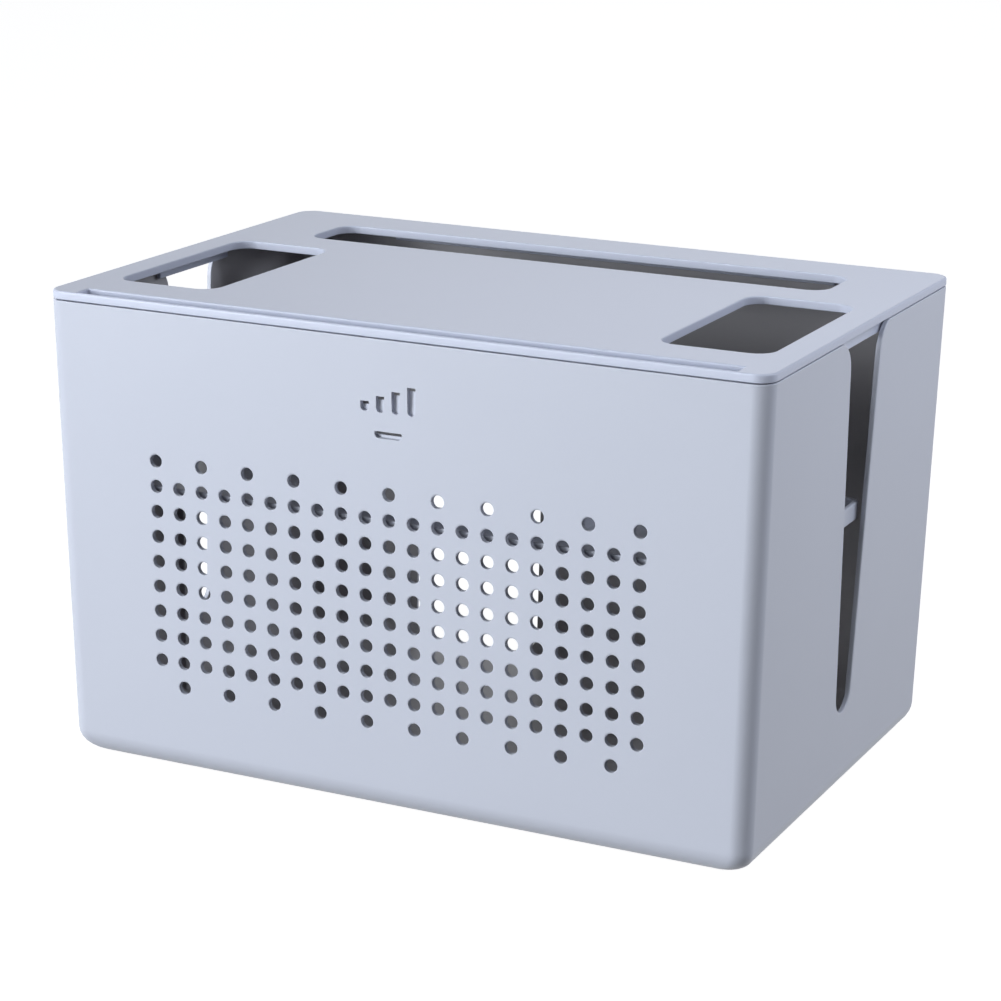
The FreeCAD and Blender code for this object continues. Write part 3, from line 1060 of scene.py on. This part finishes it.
class MouldGrain:
    """The fine spark-eroded grain and the broad, faint flow shading of moulded plastic."""

    name = "mould_grain"

    def group(self) -> bpy.types.NodeTree:
        """Makes the group once and then gives the same one.

        Returns:
            The shader node group.
        """
        if self.name in bpy.data.node_groups:
            return bpy.data.node_groups[self.name]
        tree = bpy.data.node_groups.new(self.name, "ShaderNodeTree")
        for label, value in (("Grain Scale", 2600.0), ("Flow Scale", 14.0), ("Roughness", 0.45),
                             ("Roughness Range", 0.05)):
            socket = tree.interface.new_socket(label, in_out="INPUT", socket_type="NodeSocketFloat")
            socket.default_value = value
        for label in ("Light Tint", "Dark Tint"):
            tree.interface.new_socket(label, in_out="INPUT", socket_type="NodeSocketColor")
        tree.interface.new_socket("Color", in_out="OUTPUT", socket_type="NodeSocketColor")
        tree.interface.new_socket("Roughness", in_out="OUTPUT", socket_type="NodeSocketFloat")
        tree.interface.new_socket("Height", in_out="OUTPUT", socket_type="NodeSocketFloat")
        self.fill(NodeSheet(tree))
        return tree

    def fill(self, sheet: NodeSheet) -> None:
        """Wires the grain, the flow shading and the roughness."""
        inputs = sheet.add("NodeGroupInput")
        outputs = sheet.add("NodeGroupOutput")
        place = sheet.add("ShaderNodeTexCoord")
        grain = sheet.add("ShaderNodeTexNoise", noise_dimensions="3D")
        grain.inputs["Detail"].default_value = 2.0
        sheet.wire(place.outputs["Object"], grain.inputs["Vector"])
        sheet.wire(inputs.outputs["Grain Scale"], grain.inputs["Scale"])
        flow = sheet.add("ShaderNodeTexNoise", noise_dimensions="3D")
        flow.inputs["Detail"].default_value = 3.0
        flow.inputs["Distortion"].default_value = 0.6
        sheet.wire(place.outputs["Object"], flow.inputs["Vector"])
        sheet.wire(inputs.outputs["Flow Scale"], flow.inputs["Scale"])
        tint = sheet.add("ShaderNodeMix", data_type="RGBA")
        sheet.wire(flow.outputs["Fac"], tint.inputs["Factor"])
        sheet.wire(inputs.outputs["Dark Tint"], tint.inputs["A"])
        sheet.wire(inputs.outputs["Light Tint"], tint.inputs["B"])
        centred = sheet.add("ShaderNodeMath", operation="SUBTRACT")
        centred.inputs[1].default_value = 0.5
        sheet.wire(grain.outputs["Fac"], centred.inputs[0])
        rough = sheet.add("ShaderNodeMath", operation="MULTIPLY_ADD")
        sheet.wire(centred.outputs[0], rough.inputs[0])
        sheet.wire(inputs.outputs["Roughness Range"], rough.inputs[1])
        sheet.wire(inputs.outputs["Roughness"], rough.inputs[2])
        sheet.wire(tint.outputs["Result"], outputs.inputs["Color"])
        sheet.wire(rough.outputs[0], outputs.inputs["Roughness"])
        sheet.wire(grain.outputs["Fac"], outputs.inputs["Height"])


@dataclass(frozen=True)
class MouldedPlastic:
    """Light, cool grey satin plastic."""

    name: str
    light_tint: tuple[float, float, float, float]
    dark_tint: tuple[float, float, float, float]
    roughness: float = 0.42
    grain_depth: float = 0.012 * MM
    grain_scale: float = 2600.0

    def material(self) -> bpy.types.Material:
        """Makes the material once and then gives the same one."""
        found = bpy.data.materials.get(self.name)
        if found:
            return found
        made = bpy.data.materials.new(self.name)
        made.use_nodes = True
        sheet = NodeSheet(made.node_tree)
        shader = made.node_tree.nodes["Principled BSDF"]
        grain = sheet.add("ShaderNodeGroup", node_tree=MouldGrain().group())
        grain.inputs["Light Tint"].default_value = self.light_tint
        grain.inputs["Dark Tint"].default_value = self.dark_tint
        grain.inputs["Roughness"].default_value = self.roughness
        grain.inputs["Grain Scale"].default_value = self.grain_scale
        bump = sheet.add("ShaderNodeBump")
        bump.inputs["Strength"].default_value = 0.35
        bump.inputs["Distance"].default_value = self.grain_depth
        sheet.wire(grain.outputs["Height"], bump.inputs["Height"])
        sheet.wire(bump.outputs["Normal"], shader.inputs["Normal"])
        sheet.wire(grain.outputs["Color"], shader.inputs["Base Color"])
        sheet.wire(grain.outputs["Roughness"], shader.inputs["Roughness"])
        shader.inputs["Specular IOR Level"].default_value = 0.5
        shader.inputs["IOR"].default_value = 1.5
        return made

    def paint(self, piece: bpy.types.Object) -> None:
        """Gives a piece this finish alone."""
        piece.data.materials.clear()
        piece.data.materials.append(self.material())

    def paint_faces(self, piece: bpy.types.Object, chosen: Callable[[bpy.types.MeshPolygon], bool]
                    ) -> None:
        """Gives some of a piece's faces this finish.

        Args:
            piece: A piece that has its main finish.
            chosen: Tells which faces take this one.
        """
        piece.data.materials.append(self.material())
        for face in piece.data.polygons:
            if chosen(face):
                face.material_index = len(piece.data.materials) - 1


@dataclass(frozen=True)
class PadRubber:
    """Dark, matt anti-slip rubber."""

    name: str = "anti_slip_rubber"
    light_tint: tuple[float, float, float, float] = (0.045, 0.045, 0.048, 1.0)
    dark_tint: tuple[float, float, float, float] = (0.022, 0.022, 0.024, 1.0)
    roughness: float = 0.78

    def paint(self, piece: bpy.types.Object) -> None:
        """Gives a piece this finish alone."""
        plastic = MouldedPlastic(self.name, self.light_tint, self.dark_tint, self.roughness, 0.03 * MM,
                                 1800.0)
        piece.data.materials.clear()
        piece.data.materials.append(plastic.material())


@dataclass
class Studio:
    """Camera, lamps, floor and background."""

    azimuth: float = math.radians(25.82)
    elevation: float = math.radians(15.77)
    roll: float = math.radians(0.73)
    distance: float = 1160.66 * MM
    look_at: tuple[float, float, float] = (-2.155 * MM, 0.0, 99.525 * MM)
    lens: float = 105.24
    sensor: float = 36.0
    floor_size: float = 30.0
    lit_point: tuple[float, float, float] = (0.0, 0.0, 0.09)
    front_tint: tuple[float, float, float] = (0.88, 0.93, 0.985)
    side_tint: tuple[float, float, float] = (0.83, 0.89, 1.0)

    def camera(self) -> None:
        """Adds the camera at the photograph's place."""
        a, e = self.azimuth, self.elevation
        back = Vector((math.sin(a) * math.cos(e), -math.cos(a) * math.cos(e), math.sin(e)))
        right = Vector((math.cos(a), math.sin(a), 0))
        upward = back.cross(right)
        turned_right = right * math.cos(self.roll) + upward * math.sin(self.roll)
        turned_up = upward * math.cos(self.roll) - right * math.sin(self.roll)
        place = Vector(self.look_at) + back * self.distance
        clear_selection()
        bpy.ops.object.camera_add(location=place)
        camera = bpy.context.object
        rows = Matrix((turned_right, turned_up, back)).transposed()
        camera.matrix_world = Matrix.Translation(place) @ rows.to_4x4()
        camera.data.sensor_width = self.sensor
        camera.data.lens = self.lens
        camera.data.clip_end = 100
        bpy.context.scene.camera = camera

    def lamp(self, name: str, azimuth: float, elevation: float, distance: float, size: float, power: float
             ) -> None:
        """Adds a soft square lamp that faces the box.

        Args:
            name: What it is called.
            azimuth: Degrees from the box's front towards its right side.
            elevation: Degrees above the box's middle.
            distance: How far it stands from the box's middle.
            size: Its width and height.
            power: Its power in watts.
        """
        turn, rise = math.radians(azimuth), math.radians(elevation)
        away = Vector((math.sin(turn) * math.cos(rise), -math.cos(turn) * math.cos(rise), math.sin(rise)))
        clear_selection()
        bpy.ops.object.light_add(type="AREA", location=Vector(self.lit_point) + away * distance)
        lamp = bpy.context.object
        lamp.name = name
        lamp.data.shape = "SQUARE"
        lamp.data.size = size
        lamp.data.energy = power
        lamp.data.color = self.front_tint if abs(azimuth) < 90 else self.side_tint
        lamp.rotation_euler = away.to_track_quat("Z", "Y").to_euler()

    def floor(self) -> None:
        """Adds a pale floor that looks white and keeps a soft shadow."""
        clear_selection()
        bpy.ops.mesh.primitive_plane_add(size=self.floor_size)
        floor = bpy.context.object
        floor.name = "floor"
        made = bpy.data.materials.new("pale_floor")
        made.use_nodes = True
        sheet = NodeSheet(made.node_tree)
        made.node_tree.nodes.clear()
        output = sheet.add("ShaderNodeOutputMaterial")
        path = sheet.add("ShaderNodeLightPath")
        pale = sheet.add("ShaderNodeMix", data_type="RGBA")
        pale.inputs["A"].default_value = (0.8, 0.8, 0.8, 1)
        pale.inputs["B"].default_value = (0.12, 0.12, 0.12, 1)
        sheet.wire(path.outputs["Is Diffuse Ray"], pale.inputs["Factor"])
        matt = sheet.add("ShaderNodeBsdfDiffuse")
        sheet.wire(pale.outputs["Result"], matt.inputs["Color"])
        glow = sheet.add("ShaderNodeEmission")
        seen = sheet.add("ShaderNodeMath", operation="MAXIMUM")
        sheet.wire(path.outputs["Is Camera Ray"], seen.inputs[0])
        sheet.wire(path.outputs["Is Glossy Ray"], seen.inputs[1])
        share = sheet.add("ShaderNodeMath", operation="MULTIPLY")
        share.inputs[1].default_value = 0.6
        sheet.wire(seen.outputs[0], share.inputs[0])
        mix = sheet.add("ShaderNodeMixShader")
        sheet.wire(share.outputs[0], mix.inputs["Fac"])
        sheet.wire(matt.outputs[0], mix.inputs[1])
        sheet.wire(glow.outputs[0], mix.inputs[2])
        sheet.wire(mix.outputs[0], output.inputs["Surface"])
        glow.inputs["Strength"].default_value = 1.55
        floor.data.materials.append(made)

    def world(self) -> None:
        """Makes the background white to the eye, with a dimmer soft fill."""
        world = bpy.data.worlds.new("studio")
        bpy.context.scene.world = world
        world.use_nodes = True
        sheet = NodeSheet(world.node_tree)
        backdrop = world.node_tree.nodes["Background"]
        backdrop.inputs["Color"].default_value = (1, 1, 1, 1)
        fill = sheet.add("ShaderNodeBackground")
        fill.inputs["Color"].default_value = (1.0, 0.97, 0.93, 1)
        fill.inputs["Strength"].default_value = 0.01
        path = sheet.add("ShaderNodeLightPath")
        seen = sheet.add("ShaderNodeMath", operation="MAXIMUM")
        sheet.wire(path.outputs["Is Camera Ray"], seen.inputs[0])
        through = sheet.add("ShaderNodeMath", operation="MAXIMUM")
        sheet.wire(path.outputs["Is Glossy Ray"], through.inputs[0])
        sheet.wire(path.outputs["Is Transmission Ray"], through.inputs[1])
        sheet.wire(through.outputs[0], seen.inputs[1])
        mix = sheet.add("ShaderNodeMixShader")
        sheet.wire(seen.outputs[0], mix.inputs["Fac"])
        sheet.wire(fill.outputs[0], mix.inputs[1])
        sheet.wire(backdrop.outputs[0], mix.inputs[2])
        sheet.wire(mix.outputs[0], world.node_tree.nodes["World Output"].inputs["Surface"])

    def build(self) -> None:
        """Sets up everything around the box."""
        bpy.context.scene.view_settings.view_transform = "Standard"
        self.camera()
        self.floor()
        self.world()
        self.lamp("low_key_lamp", -34, 5, 3.5, 1.4, 124)
        self.lamp("high_key_lamp", -40, 35, 1.5, 0.7, 10)
        self.lamp("front_lamp", 0, 5, 3.5, 1.4, 20.4)
        self.lamp("right_lamp", 124, 5, 3.5, 1.4, 36)
        self.lamp("rear_lamp", 200, 30, 3.5, 1.4, 10)
        self.lamp("near_right_lamp", 100, 38, 0.85, 0.4, 2.8)


SHELL_FINISH = MouldedPlastic("cool_grey_moulded_shell", (0.545, 0.56, 0.63, 1), (0.525, 0.54, 0.61, 1))
# The shell's plastic made a darker, warmer grey: painted shade for the dim inside of the tub.
INNER_PAINTED_SHADE = MouldedPlastic("inner_faces_painted_shade", (0.43, 0.415, 0.425, 1), (0.41, 0.395, 0.405, 1), 0.5)
# The shell's plastic made a lighter, bluer grey: painted light for the light falling on the lid's top.
LID_PAINTED_LIGHT = MouldedPlastic("lid_plastic_painted_light", (0.57, 0.595, 0.70, 1), (0.55, 0.575, 0.68, 1))
TRAY_FINISH = MouldedPlastic("cool_grey_moulded_tray", (0.545, 0.56, 0.63, 1), (0.525, 0.54, 0.61, 1))


def main() -> None:
    """Builds the studio and each piece in order, and says what was made."""
    logging.basicConfig(level=logging.INFO, format="%(name)s: %(message)s")
    Studio().build()
    for maker, finish in ((TubShell(), SHELL_FINISH), (LidPlate(), LID_PAINTED_LIGHT), (RouterShelf(), TRAY_FINISH)):
        piece = maker.build()
        maker.dress(piece, finish)
        log.info("%s: %d faces", piece.name, len(piece.data.polygons))
    for node in sorted(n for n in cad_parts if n.startswith("foot_pad")):
        maker = AntiSlipPad(node)
        piece = maker.build()
        maker.dress(piece, PadRubber())
        log.info("%s: %d faces", piece.name, len(piece.data.polygons))


if __name__ == "__main__":
    main()
